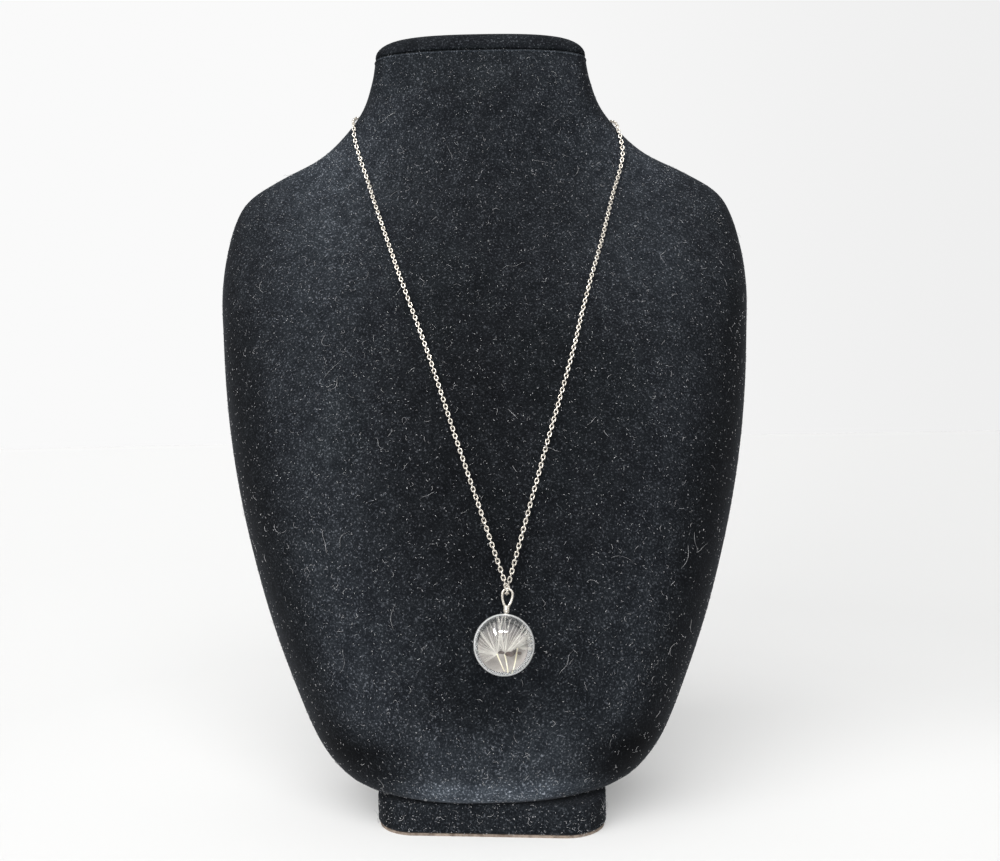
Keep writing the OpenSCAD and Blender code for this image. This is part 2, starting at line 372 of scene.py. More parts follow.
velvet = {
    "pile": ((0.38, (0.067, 0.082, 0.101)), (0.58, (0.139, 0.162, 0.191)),
             (0.7, (0.777, 0.84, 0.945))),
    "brushed": ((0.35, (0.62, 0.63, 0.65)), (0.65, (1.0, 1.0, 1.0))),
    "crushed": ((0.3, (0.72, 0.72, 0.73)), (0.7, (1.0, 1.0, 1.0))),
    # painted light and shade, lightening and darkening the velvet across and up the bust: share of
    # the way, tone
    "across": ((0.0, 0.49), (0.08, 0.6), (0.15, 0.94), (0.22, 1.0), (0.29, 0.76), (0.36, 0.55),
               (0.43, 0.434), (0.5, 0.407), (0.6, 0.5), (0.7, 0.596), (0.77, 0.75), (0.83, 0.88),
               (0.9, 0.58), (1.0, 0.43)),
    # the same across its lowest part, and how far up that part reaches
    "shadeAcrossLow": ((0.1, 0.07), (0.18, 0.1), (0.237, 0.21), (0.29, 0.42), (0.35, 0.68),
                  (0.4, 0.66), (0.47, 0.64), (0.51, 0.59), (0.56, 0.59), (0.6, 0.62),
                  (0.66, 0.66), (0.72, 0.45), (0.79, 0.18), (0.85, 0.07), (0.9, 0.043)),
    "shadeLowReach": ((0.1, 1.0), (0.15, 0.0)),
    "shadeUp": ((0.04, 1.0), (0.06, 0.84), (0.069, 0.46), (0.085, 0.36), (0.1, 0.33), (0.15, 0.187),
               (0.22, 0.18), (0.32, 0.147), (0.4, 0.133), (0.58, 0.147), (0.66, 0.2),
               (0.84, 0.267), (1.0, 0.28)),
    # and the painted shade where the cloth turns to either side
    "turned": ((0.0, 0.55), (0.12, 0.5), (0.2, 0.68), (0.28, 1.0), (0.72, 1.0), (0.8, 0.64),
               (0.88, 0.48), (1.0, 0.55)),
    "height": 270,
    # half the bust's width low down and at the chest, and the two heights
    "widens": (52, 97, 10, 140),
    # how bright the other cloth is against the bust's; the hem's lighter tone is a painted
    # highlight along its fold
    "footTone": 0.118,
    "capTone": 0.095,
    "hemHighlightTone": 0.286,
    "pileNoise": (1500.0, 2.0, 0.7),
    "brushedScale": 190.0,
    "crushedScale": 30.0,
    "bump": (0.6, 0.0002),
    "roughness": 0.95,
    "specular": 0.05,
    "sheen": 0.06,
    "sheenRoughness": 0.4,
    "sheenTint": (0.75, 0.8, 0.9, 1),
}


def addAcross(tree):  # how far across the bust, from 0 to 1, at any height
    low, high, bottom, top = velvet["widens"]
    coords = tree.nodes.new("ShaderNodeTexCoord")
    split = tree.nodes.new("ShaderNodeSeparateXYZ")
    half = addNode(tree, "ShaderNodeMapRange", From_Min=bottom * mm, From_Max=top * mm,
                   To_Min=low * mm, To_Max=high * mm)
    other = tree.nodes.new("ShaderNodeMath")
    other.operation = "MULTIPLY"
    other.inputs[1].default_value = -1
    place = tree.nodes.new("ShaderNodeMapRange")
    tree.links.new(coords.outputs["Object"], split.inputs[0])
    tree.links.new(split.outputs["Z"], half.inputs["Value"])
    tree.links.new(half.outputs["Result"], other.inputs[0])
    tree.links.new(split.outputs["X"], place.inputs["Value"])
    tree.links.new(other.outputs[0], place.inputs["From Min"])
    tree.links.new(half.outputs["Result"], place.inputs["From Max"])
    return place.outputs["Result"]


def addPlace(tree, axis, low, high):  # how far along an axis, from 0 to 1
    coords = tree.nodes.new("ShaderNodeTexCoord")
    split = tree.nodes.new("ShaderNodeSeparateXYZ")
    place = addNode(tree, "ShaderNodeMapRange", From_Min=low * mm, From_Max=high * mm)
    tree.links.new(coords.outputs["Object"], split.inputs[0])
    tree.links.new(split.outputs[axis], place.inputs["Value"])
    return place.outputs["Result"]


def addTurn(tree):  # how far the surface turns to the side, 0.5 where it faces the front
    coords = tree.nodes.new("ShaderNodeTexCoord")
    split = tree.nodes.new("ShaderNodeSeparateXYZ")
    turn = addNode(tree, "ShaderNodeMapRange", From_Min=-1.0, From_Max=1.0)
    tree.links.new(coords.outputs["Normal"], split.inputs[0])
    tree.links.new(split.outputs["X"], turn.inputs["Value"])
    return turn.outputs["Result"]


def makeVelvet(name, tone, shadedAcrossAndUp=True):
    material, tree, shader = nodeTree(name)
    fine = addNoise(tree, *velvet["pileNoise"])
    wornAndShaded = addRamp(tree, fine, *[(p, [tone * c for c in colour]) for p, colour in velvet["pile"]])
    for key in ("brushed", "crushed"):
        patches = addRamp(tree, addNoise(tree, velvet[f"{key}Scale"]), *velvet[key])
        wornAndShaded = addBlend(tree, "MULTIPLY", wornAndShaded, patches)

    # painted light and shade, as tones that multiply the velvet's colour: darker where the cloth
    # turns to the side, and on the bust lighter and darker across and up
    def paintedShade(place, key):
        return addRamp(tree, place, *[(p, (v,) * 3) for p, v in velvet[key]])

    wornAndShaded = addBlend(tree, "MULTIPLY", wornAndShaded, paintedShade(addTurn(tree), "turned"))
    if shadedAcrossAndUp:
        across, up = addAcross(tree), addPlace(tree, "Z", 0, velvet["height"])
        spread = addBlend(tree, "MIX", paintedShade(across, "across"), paintedShade(across, "shadeAcrossLow"),
                          paintedShade(up, "shadeLowReach"))
        for shade in (spread, paintedShade(up, "shadeUp")):
            wornAndShaded = addBlend(tree, "MULTIPLY", wornAndShaded, shade)
    tree.links.new(wornAndShaded, shader.inputs["Base Color"])
    addBump(tree, shader, fine, *velvet["bump"])
    shader.inputs["Roughness"].default_value = velvet["roughness"]
    shader.inputs["Specular IOR Level"].default_value = velvet["specular"]
    shader.inputs["Sheen Weight"].default_value = velvet["sheen"]
    shader.inputs["Sheen Roughness"].default_value = velvet["sheenRoughness"]
    shader.inputs["Sheen Tint"].default_value = velvet["sheenTint"]
    return material


silver = {
    "toneScale": 900.0,
    "tonePlaces": (0.3, 0.65),
    "scuffScale": 2500.0,
    "roughness": ((0.3, (0.2,) * 3), (0.7, (0.38,) * 3)),
    # how metallic it is, and its dull and bright tone
    "chain": (0.7, (0.5, 0.46, 0.4), (0.84, 0.79, 0.71)),
    "loop": (0.8, (0.62, 0.58, 0.51), (0.88, 0.84, 0.76)),
}


def makeSilver(name, shine, *tones):
    material, tree, shader = nodeTree(name)
    tone = addRamp(tree, addNoise(tree, silver["toneScale"]), *zip(silver["tonePlaces"], tones))
    tree.links.new(tone, shader.inputs["Base Color"])
    scuffs = addRamp(tree, addNoise(tree, silver["scuffScale"]), *silver["roughness"])
    tree.links.new(scuffs, shader.inputs["Roughness"])
    shader.inputs["Metallic"].default_value = shine
    return material


glass = {
    "tintScale": 300.0,
    "tintAndRimHighlight": ((0.3, (0.955, 0.975, 0.97)), (0.7, (0.99, 1, 0.995))),
    "ior": 1.5,
    # painted highlight along the rim, where the glass grows unclear and shows its pale tint
    "rimHighlight": ((0.5, 1.0), (0.64, 0.86), (0.71, 0.08), (1.0, 0.04)),  # clearness by angle of view
    "coat": 1.0,
    "coatRoughness": 0.08,
}


def makeGlass():
    material, tree, shader = nodeTree("clearGlass")
    tone = addRamp(tree, addNoise(tree, glass["tintScale"]), *glass["tintAndRimHighlight"])
    tree.links.new(tone, shader.inputs["Base Color"])
    # painted highlight: towards the rim the glass loses its clearness and shows its pale base
    # colour as a bright rim line
    facing = addNode(tree, "ShaderNodeLayerWeight", Blend=0.5)
    clear = addRamp(tree, facing.outputs["Facing"], *[(p, (c,) * 3) for p, c in glass["rimHighlight"]])
    tree.links.new(clear, shader.inputs["Transmission Weight"])
    shader.inputs["Roughness"].default_value = 0.0
    shader.inputs["IOR"].default_value = glass["ior"]
    shader.inputs["Coat Weight"].default_value = glass["coat"]
    shader.inputs["Coat Roughness"].default_value = glass["coatRoughness"]
    return material


fibres = {
    "bump": (0.3, 0.0001),
    # noise scale, roughness, and two stops of tone
    "lint": (400.0, 0.9, (0.35, (0.16, 0.16, 0.17)), (0.65, (0.55, 0.55, 0.56))),
    "bristle": (700.0, 0.6, (0.35, (0.7, 0.67, 0.62)), (0.65, (0.86, 0.83, 0.78))),
    "stalk": (900.0, 0.5, (0.35, (0.84, 0.77, 0.55)), (0.65, (0.93, 0.89, 0.72))),
    # painted shade between the plumes' hubs, dark brown
    "hubShade": (1500.0, 0.6, (0.35, (0.02, 0.007, 0.004)), (0.65, (0.055, 0.024, 0.012))),
    "board": (500.0, 0.9, (0.35, (0.12, 0.09, 0.07)), (0.65, (0.26, 0.21, 0.17))),
}


def makeFibre(name, scale, roughness, *stops):
    material, tree, shader = nodeTree(name)
    noise = addNoise(tree, scale)
    tree.links.new(addRamp(tree, noise, *stops), shader.inputs["Base Color"])
    addBump(tree, shader, noise, *fibres["bump"])
    shader.inputs["Roughness"].default_value = roughness
    return material


downAndLight = {
    "scale": 450.0,
    "roughness": 0.8,
    "low": ((0.3, (0.22, 0.2, 0.185)), (0.7, (0.36, 0.325, 0.3))),
    "high": ((0.3, (0.06, 0.063, 0.073)), (0.7, (0.12, 0.124, 0.136))),
    "fadeFrom": 61.5,
    "fadeTo": 65.5,
}


def makeDownAndLight():  # painted light: paler below the plumes, where the ball focuses light, greyer behind them
    material, tree, shader = nodeTree("downAndPaintedLight")
    noise = addNoise(tree, downAndLight["scale"])
    # painted light: the lower tone is paler, where the ball focuses the light from above, the upper
    # one greyer
    low = addRamp(tree, noise, *downAndLight["low"])
    high = addRamp(tree, noise, *downAndLight["high"])
    fade = addPlace(tree, "Z", downAndLight["fadeFrom"], downAndLight["fadeTo"])
    tree.links.new(addBlend(tree, "MIX", low, high, fade), shader.inputs["Base Color"])
    addBump(tree, shader, noise, *fibres["bump"])
    shader.inputs["Roughness"].default_value = downAndLight["roughness"]
    return material


def dress(piece, material, slotName, body, *replaced):
    piece.data.materials.clear()
    piece.data.materials.append(material)
    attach(piece, body)
    if replaced:
        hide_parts(*replaced)
    return piece


velvetMaterial = makeVelvet("blackVelvet", 1.0)
footVelvet = makeVelvet("footVelvet", velvet["footTone"], shadedAcrossAndUp=False)
capVelvet = makeVelvet("capVelvet", velvet["capTone"], shadedAcrossAndUp=False)
# the hem's lighter velvet is a painted highlight along the fold under the cap
hemHighlightVelvet = makeVelvet("hemHighlightVelvet", velvet["hemHighlightTone"], shadedAcrossAndUp=False)
chainSilver = makeSilver("warmSilver", *silver["chain"])
loopSilver = makeSilver("paleSilver", *silver["loop"])
glassMaterial = makeGlass()
lintMaterial = makeFibre("lintFibre", *fibres["lint"])
bristleMaterial = makeFibre("palePlume", *fibres["bristle"])
stalkMaterial = makeFibre("seedStalk", *fibres["stalk"])
hubShadeMaterial = makeFibre("paintedHubShade", *fibres["hubShade"])
downAndLightMaterial = makeDownAndLight()
boardMaterial = makeFibre("rawBoard", *fibres["board"])
print("materials made")

bustPiece = dress(makeBust(), velvetMaterial, "velvet", "stand", "bust_form")
dress(makeNeckCap(), capVelvet, "velvet", "stand", "neck_cap")
dress(makeHem(), hemHighlightVelvet, "velvet", "stand")
footPiece = dress(makeFoot(), footVelvet, "velvet", "stand", "foot")
for name, material in (("base_board", boardMaterial), ("clasp", chainSilver)):
    nodes[name].data.materials.clear()
    nodes[name].data.materials.append(material)
print("bust made")


# Lint: curled fibres and short ends that lie on the pile

lint = {
    "seed": 11,
    "fibreSteps": 9,
    "fibreLength": (0.8, 3.0),
    "fibreRadius": 0.045,
    "longLength": (3.5, 9.0),
    "bend": 1.7,
    "lift": 0.1,
    "hump": 0.3,
    "taper": (0.12, 0.88),  # the part of a half wave that a fibre's thickness follows
    "endLength": (0.2, 0.6),
    "endBend": 0.3,
    "endRadius": (0.04, 0.085),
    "lowest": 0.2,  # no fibre goes into what the bust stands on
    # how many short fibres, long fibres and loose ends lie on each piece
    "bust": (900, 90, 12000),
    "foot": (60, 10, 900),
}


def lyingPaths(piece, count, steps, lengths, bend, hump, rng):
    points, normals = scatterOn(piece, count, rng)
    e1 = unit(np.cross(normals, rng.normal(size=(count, 3))))
    e2 = np.cross(normals, e1)
    s = np.linspace(0, 1, steps)
    heading = (rng.normal(0, bend, count)[:, None] * s
               + rng.normal(0, bend / 3, count)[:, None] * np.sin(2 * math.pi * s))
    stride = (rng.uniform(*lengths, count) * mm / (steps - 1))[:, None]
    x = np.cumsum(stride * np.cos(heading), axis=1)
    y = np.cumsum(stride * np.sin(heading), axis=1)
    rise = (lint["lift"] + hump * rng.random(count)[:, None] * np.sin(math.pi * s)) * mm
    paths = (points[:, None] + x[..., None] * e1[:, None] + y[..., None] * e2[:, None]
             + rise[..., None] * normals[:, None])
    paths[..., 2] = np.maximum(paths[..., 2], lint["lowest"] * mm)
    return paths


def makeLint(name, piece, counts):
    rng = np.random.default_rng(lint["seed"])
    shorts, longs, ends = counts
    steps = lint["fibreSteps"]
    curls = np.concatenate([
        lyingPaths(piece, shorts, steps, lint["fibreLength"], lint["bend"], lint["hump"], rng),
        lyingPaths(piece, longs, steps, lint["longLength"], lint["bend"], lint["hump"], rng)])
    taper = np.sin(math.pi * np.linspace(*lint["taper"], steps)) ** 0.5 * lint["fibreRadius"] * mm
    thick = rng.uniform(*lint["endRadius"], (ends, 1)) * mm
    straws = lyingPaths(piece, ends, 2, lint["endLength"], lint["endBend"], 0, rng)
    verts, faces = joined(hairMesh(curls, np.tile(taper, (len(curls), 1))),
                          hairMesh(straws, np.tile(thick, (1, 2))))
    return newPiece(name, verts, faces)


dress(makeLint("velvetLint", bustPiece, lint["bust"]), lintMaterial, "velvet", "stand")
dress(makeLint("footLint", footPiece, lint["foot"]), lintMaterial, "velvet", "stand")
print("lint scattered")


# The chain: oval links along the same route as the frame's tube, in millimetres

chain = {
    "leftRows": [(-9, 121), (-17.5, 147), (-22.5, 161), (-28, 176), (-33.3, 191),
                 (-38.8, 207), (-42, 217), (-45, 226), (-47, 234), (-47.3, 239)],
    "rightRows": [(20, 121), (28.5, 147), (32.5, 161), (37, 176), (42, 191),
                  (47, 208), (50, 217), (52, 225), (51.8, 231), (50.8, 236)],
    "leftBack": [(190, 242), (180, 244), (165, 245), (150, 246), (130, 247), (110, 247)],
    "rightBack": [(350, 239), (0, 241), (15, 243), (30, 245), (50, 246), (70, 247)],
    "leftEnd": (-5.3, 52.85, 247),
    "rightEnd": (3.3, 52.85, 247),
    "off": 1.05,
    "turnRadius": 1.34,
    "turnLeft": 0.3,
    "turnSteps": 16,
    "pitch": 1.34,
    "endRadius": 0.55,
    "halfStraight": 0.31,
    "wireDiameter": 0.38,
    "around": 16,
    "wireSides": 8,
    "smoothing": 3,
    "settle": 14,  # length over which the links turn to lie flat under the loop
    "sway": 9,  # degrees that the links turn from square, slowly along the chain
    "swayEnd": 260,
    "swayStep": 40,
    "shake": 3,  # and each by itself
    "seed": 5,
}
pendant = {
    "hinge": (6.25, -42.5235, 76.8),
    "lean": 22,
    "tip": 5,
    "ballDrop": 16.54,
}
hang = (Matrix.Translation(Vector(pendant["hinge"]) * mm)
        @ Matrix.Rotation(math.radians(-pendant["lean"]), 4, "X")
        @ Matrix.Rotation(math.radians(pendant["tip"]), 4, "Y"))


def finer(route):  # twice the points, on a smooth curve through the given ones
    padded = np.concatenate([route[:1], route, route[-1:]])
    middle = (9 * (padded[1:-2] + padded[2:-1]) - padded[:-3] - padded[3:]) / 16
    finished = np.empty((2 * len(route) - 1, 3))
    finished[0::2] = route
    finished[1::2] = middle
    return finished


def chainRoute():
    def chest(rows):
        return [offSkin(frontTurn(x, z), z, chain["off"]) for x, z in rows]

    def neck(rows):
        return [offSkin(turn, z, chain["off"]) for turn, z in rows]

    left = np.array(chest(chain["leftRows"]) + neck(chain["leftBack"]) + [chain["leftEnd"]])[::-1]
    right = np.array(chest(chain["rightRows"]) + neck(chain["rightBack"]) + [chain["rightEnd"]])
    for _ in range(chain["smoothing"]):
        left, right = finer(left), finer(right)
    lean = math.radians(pendant["lean"])
    up = np.array([0, math.sin(lean), math.cos(lean)])
    front = np.array([0, -math.cos(lean), math.sin(lean)])
    a = np.linspace(0, math.pi, chain["turnSteps"] + 1)[:, None]
    middle = np.array(pendant["hinge"]) - (chain["turnLeft"], 0, 0)
    loop = middle + chain["turnRadius"] * (np.cos(a) * front - np.sin(a) * up)
    return left, loop, right


def makeChain():
    left, loop, right = chainRoute()
    route = np.concatenate([left, loop, right])
    length = np.concatenate([[0], np.cumsum(np.linalg.norm(np.diff(route, axis=0), axis=1))])
    middle = length[len(left) + chain["turnSteps"] // 2]
    pitch = chain["pitch"]
    before, after = int(middle / pitch), int((length[-1] - middle) / pitch)
    spots = middle + pitch * np.arange(-before, after + 1)

    def at(s):
        return np.stack([np.interp(s, length, route[:, i]) for i in range(3)], axis=-1)

    place = at(spots)
    along = unit(at(spots + pitch / 2) - at(spots - pitch / 2))
    across = np.empty_like(along)
    level = np.array([1.0, 0, 0])  # the link under the loop lies across it
    across[before] = unit(level - np.dot(level, along[before]) * along[before])
    for i in range(before + 1, len(spots)):
        across[i] = unit(across[i - 1] - np.dot(across[i - 1], along[i]) * along[i])
    for i in range(before - 1, -1, -1):
        across[i] = unit(across[i + 1] - np.dot(across[i + 1], along[i]) * along[i])
    rng = np.random.default_rng(chain["seed"])
    offset = spots - middle
    end = chain["swayEnd"]
    knots = np.arange(-end, end + 1, chain["swayStep"])
    sway = np.interp(offset, knots, rng.normal(0, chain["sway"], len(knots)))
    sway = (sway * (1 - np.exp(-(offset / chain["settle"]) ** 2))
            + rng.normal(0, chain["shake"], len(spots)))
    roll = np.radians(sway + 90 * (np.arange(len(spots)) - before))
    deep = np.cross(along, across)
    wide = np.cos(roll)[:, None] * across + np.sin(roll)[:, None] * deep
    thick = np.cross(along, wide)

    n, sides = chain["around"], chain["wireSides"]
    a = 2 * math.pi * (np.arange(n) + 0.5) / n
    b = 2 * math.pi * np.arange(sides) / sides
    line = np.stack([chain["endRadius"] * np.cos(a) + chain["halfStraight"] * np.sign(np.cos(a)),
                     chain["endRadius"] * np.sin(a), 0 * a], axis=-1)
    outward = np.stack([np.cos(a), np.sin(a), 0 * a], axis=-1)
    wire = chain["wireDiameter"] / 2
    link = (line[:, None] + wire * (np.cos(b)[:, None] * outward[:, None]
                                    - np.sin(b)[:, None] * np.array([0, 0, 1]))).reshape(-1, 3)
    frames = np.stack([along, wide, thick], axis=1)
    verts = place[:, None] + np.einsum("vi,nij->nvj", link, frames)
    template = np.array(loftFaces(n, sides, wrap=True))
    faces = (np.arange(len(spots))[:, None, None] * len(link) + template).reshape(-1, 4)
    print("links", len(spots), "route", round(length[-1], 1))
    return newPiece("cableChain", verts.reshape(-1, 3) * mm, faces.tolist())


dress(makeChain(), chainSilver, "silver", "stand", "chain")
print("chain made")


# The wire loop with its wraps, in the pendant's own frame

wireLoop = {
    "radius": 1.54,
    "wireRadius": 0.36,
    "loopHeight": 4.9,
    "legFoot": 0.34,
    "legIn": 0.5,
    "wrapHeight": 2.58,
    "wrapRadius": 0.62,
    "wrapWire": 0.33,
    "wraps": 4,
    "stem": 1.2,
    "stemTop": 1.0,
    "legStart": (0.1, 0.5),
    # the other leg's end, tucked behind the wraps: across, back and down
    "tail": ((-0.2, 0.08, 0.4), (-0.2, 0.1, 0.8)),
    # the wraps: half turns at their start, distance under the loop, height that they leave
    # free, how both ends tuck in, and how they narrow downwards
    "wrapStart": 0.9,
    "wrapGap": 0.1,
    "wrapFree": 0.5,
    "tuckStart": (0.55, 3),
    "tuckEnd": (0.5, 9),
    "narrows": (1.06, 0.1),
    "arcSteps": 28,
    "legSteps": 10,
    "turnSteps": 20,
    "sides": 14,
}


def makeWireLoop():
    r, low = wireLoop["radius"], wireLoop["loopHeight"] + wireLoop["legIn"]
    drop, close = low - r, r - wireLoop["legFoot"]
    legRadius = (drop**2 + close**2) / (2 * close)
    legTurn = math.asin(drop / legRadius)
    bottom = -wireLoop["loopHeight"] - wireLoop["wrapHeight"]
    leg = []
    for k in range(wireLoop["legSteps"]):
        a = legTurn * (1 - k / wireLoop["legSteps"])
        leg.append((r - legRadius * (1 - math.cos(a)), 0, -r - legRadius * math.sin(a)))
    aside, down = wireLoop["legStart"]
    path = [(0, 0, bottom - wireLoop["stem"]), (0, 0, bottom),
            (0, 0, bottom + wireLoop["stemTop"]), (aside, 0, -low - down)] + leg
    for k in range(wireLoop["arcSteps"] + 1):
        a = math.pi * k / wireLoop["arcSteps"]
        path.append((r * math.cos(a), 0, -r + r * math.sin(a)))
    path += [(-x, 0, z) for x, _, z in leg[::-1]]
    path += [(x, y, -low - down) for x, y, down in wireLoop["tail"]]
    turns = wireLoop["wraps"] * wireLoop["turnSteps"]
    tall = wireLoop["wrapHeight"] - wireLoop["wrapFree"]
    (first, opening), (last, closing) = wireLoop["tuckStart"], wireLoop["tuckEnd"]
    wide, loss = wireLoop["narrows"]
    wrap = []
    for k in range(turns + 1):
        share = k / turns
        a = math.pi * wireLoop["wrapStart"] + 2 * math.pi * wireLoop["wraps"] * share
        tuck = min(1, first + opening * share, last + closing * (1 - share))
        z = -wireLoop["loopHeight"] - wireLoop["wrapGap"] - tall * share
        radius = wireLoop["wrapRadius"] * tuck * (wide - loss * share)
        wrap.append((radius * math.cos(a), -radius * math.sin(a), z))
    verts, faces = joined(tubeMesh(path, wireLoop["wireRadius"], wireLoop["sides"], (0, 1, 0)),
                          tubeMesh(wrap, wireLoop["wrapWire"], wireLoop["sides"], (0, 0, 1)))
    return newPiece("wrappedLoop", transformed(verts, hang), faces)


dress(makeWireLoop(), loopSilver, "silver", "pendant", "wire_loop")
print("loop made")


# The glass ball and what is in it

inBall = hang @ Matrix.Translation((0, 0, -pendant["ballDrop"] * mm))
ball = {
    "diameter": 18,
    "subdivisions": 6,
}
cloud = {
    "centre": (-0.25, -0.7),
    "radius": 4.85,
    "front": 1.0,
    "deep": 1.0,
    "rings": 24,
    "sides": 72,
    "thickness": 0.12,
}


def makeBall():
    mesh = bpy.data.meshes.new("glassBall")
    body = bmesh.new()
    bmesh.ops.create_icosphere(body, subdivisions=ball["subdivisions"],
                               radius=ball["diameter"] / 2 * mm)
    body.to_mesh(mesh)
    body.free()
    mesh.polygons.foreach_set("use_smooth", [True] * len(mesh.polygons))
    mesh.transform(inBall)
    piece = bpy.data.objects.new("glassBall", mesh)
    bpy.context.scene.collection.objects.link(piece)
    return piece


def makeCloud():  # a pale sheet behind the seeds for the plumes' finest down, painted with the light the ball focuses there
    verts = []
    rings, sides = cloud["rings"], cloud["sides"]
    for side in (0, 1):
        for i in range(rings):
            share = (i + 1) / rings if side == 0 else (rings - i) / rings
            y = (cloud["front"] + cloud["deep"] * math.sqrt(max(0, 1 - share**2))
                 + cloud["thickness"] * side)
            for k in range(sides):
                a = 2 * math.pi * k / sides
                verts.append((cloud["centre"][0] + cloud["radius"] * share * math.cos(a), y,
                              cloud["centre"][1] + cloud["radius"] * share * math.sin(a)))
    faces = [face[::-1] for face in loftFaces(2 * rings, sides)]
    return newPiece("downAndLightSheet", transformed(verts, inBall), faces)


seeds = {
    "reach": 6.4,
    "clumpSpread": 0.5,
    "perClump": (2, 8),
    "clumpJitter": 0.3,
    "clumpLength": (0.86, 1),
    "bristleLength": (0.88, 1),
    "bandLength": (0.9, 1.02),
    "bristleRadius": 0.02,
    "bristleTaper": (1.15, 0.5),
    "fanDepth": 0.28,
    "bow": 0.1,
    "steps": 5,
    "stalkRadius": 0.15,
    "stalkThick": (1.1, 0.25),  # at its ends, and how much less in its middle
    "stalkHead": 1.25,
    "stalkBow": 0.06,
    "stalkSteps": 12,
    "stalkSides": 10,
    "shadeDeep": 0.18,
    "shadeWave": 0.12,
    "shadeRings": 9,
    "shadeSides": 12,
    "seed": 23,
    # head and stalk's low end across and up, first and last direction, depth, clumps
    "left": ((-1.35, -2.3), (0.55, -6.6), 218, 62, -1.4, 18),
    "mid": ((0.3, -1.9), (1.38, -6.45), 122, 36, 0.0, 11),
    "right": ((2.45, -0.15), (1.93, -6.4), 82, -2, 1.4, 9),
    # painted shade between the plumes' hubs, as dark brown spots: centre across and up, half
    # length, half height, depth
    "hubShades": {
        "left": [(-0.45, -2.0, 0.72, 0.34, -1.9)],
        "mid": [(1.25, -1.85, 0.95, 0.52, -0.3)],
        "right": [(2.05, -0.7, 0.42, 0.95, 0.5), (3.0, -1.2, 0.42, 0.34, 1.0)],
    },
    # bands where many bristles lie together: direction, spread, count
    "bands": {
        "left": [(177, 2.6, 80), (217, 0.8, 40), (131, 1.0, 20), (86, 0.8, 14)],
        "mid": [(43, 0.6, 80), (39, 0.8, 18), (57, 0.8, 12), (104, 1.5, 14)],
        "right": [(0, 0.6, 90), (30, 1.2, 24), (64, 1.0, 12)],
    },
}


def makePlume(which, rng):
    head, low, first, final, depth, clumps = seeds[which]
    head = np.array(head)
    angles, lengths = [], []
    for k in range(clumps):
        place = k + rng.uniform(-seeds["clumpJitter"], seeds["clumpJitter"])
        middle = first + (final - first) * place / (clumps - 1)
        count = rng.integers(*seeds["perClump"])
        angles += list(rng.normal(middle, seeds["clumpSpread"], count))
        lengths += list(rng.uniform(*seeds["clumpLength"])
                        * rng.uniform(*seeds["bristleLength"], count))
    for middle, spread, count in seeds["bands"][which]:
        angles += list(rng.normal(middle, spread, count))
        lengths += list(rng.uniform(*seeds["bandLength"], count))
    angles, lengths = np.radians(angles), np.array(lengths)
    way = np.stack([np.cos(angles), np.sin(angles)], axis=-1)
    inner = way @ head
    room = (-inner + np.sqrt(inner**2 - head @ head + seeds["reach"] ** 2)) * lengths
    s = np.linspace(0, 1, seeds["steps"])
    count = len(angles)
    fan = rng.normal(0, seeds["fanDepth"], count)
    bow = rng.normal(0, seeds["bow"], count)
    paths = np.empty((count, seeds["steps"], 3))
    out = room[:, None] * s
    aside = bow[:, None] * np.sin(math.pi * s)
    paths[..., 0] = head[0] + out * way[:, :1] - aside * way[:, 1:]
    paths[..., 2] = head[1] + out * way[:, 1:] + aside * way[:, :1]
    paths[..., 1] = depth + fan[:, None] * s
    start, loss = seeds["bristleTaper"]
    radii = seeds["bristleRadius"] * (start - loss * s) * np.ones((count, 1))
    verts, faces = hairMesh(paths, radii)
    return newPiece(f"plume_{which}", transformed(verts, inBall), faces)


def makeStalk(which):
    head, low, _, _, depth, _ = seeds[which]
    s = np.linspace(0, 1, seeds["stalkSteps"])
    bow = seeds["stalkBow"] * np.sin(math.pi * s)
    path = np.stack([head[0] + (low[0] - head[0]) * s + bow, depth + 0 * s,
                     head[1] + (low[1] - head[1]) * s], axis=-1)
    thick, less = seeds["stalkThick"]
    radii = seeds["stalkRadius"] * (thick - less * np.sin(math.pi * s))
    radii[0] *= seeds["stalkHead"]
    verts, faces = tubeMesh(path, radii, seeds["stalkSides"], (0, 1, 0))
    return newPiece(f"stalk_{which}", transformed(verts, inBall), faces)


# painted shade: dark brown spots between the plumes' hubs
def makeHubShade(which):
    rings, sides = seeds["shadeRings"], seeds["shadeSides"]
    parts = []
    for x, z, long, high, depth in seeds["hubShades"][which]:
        verts = []
        for i in range(rings):
            a = math.pi * (i + 0.5) / rings
            for k in range(sides):
                b = 2 * math.pi * k / sides
                out = math.sin(a) * (1 + seeds["shadeWave"] * math.sin(5 * b + 3 * a))
                y = depth + seeds["shadeDeep"] * out * math.cos(b)
                verts.append((x - long * math.cos(a), y, z - high * out * math.sin(b)))
        parts.append((verts, [face[::-1] for face in loftFaces(rings, sides)]))
    verts, faces = joined(*parts)
    return newPiece(f"hubShade_{which}", transformed(verts, inBall), faces)


dress(makeBall(), glassMaterial, "clear_glass", "pendant", "glass_ball")
dress(makeCloud(), downAndLightMaterial, "clear_glass", "pendant")
rng = np.random.default_rng(seeds["seed"])
for which in ("left", "mid", "right"):
    dress(makePlume(which, rng), bristleMaterial, "seed", "pendant", f"seed_{which}")
    dress(makeStalk(which), stalkMaterial, "seed", "pendant")
    dress(makeHubShade(which), hubShadeMaterial, "seed", "pendant")
print("ball and seeds made")


# Studio and camera

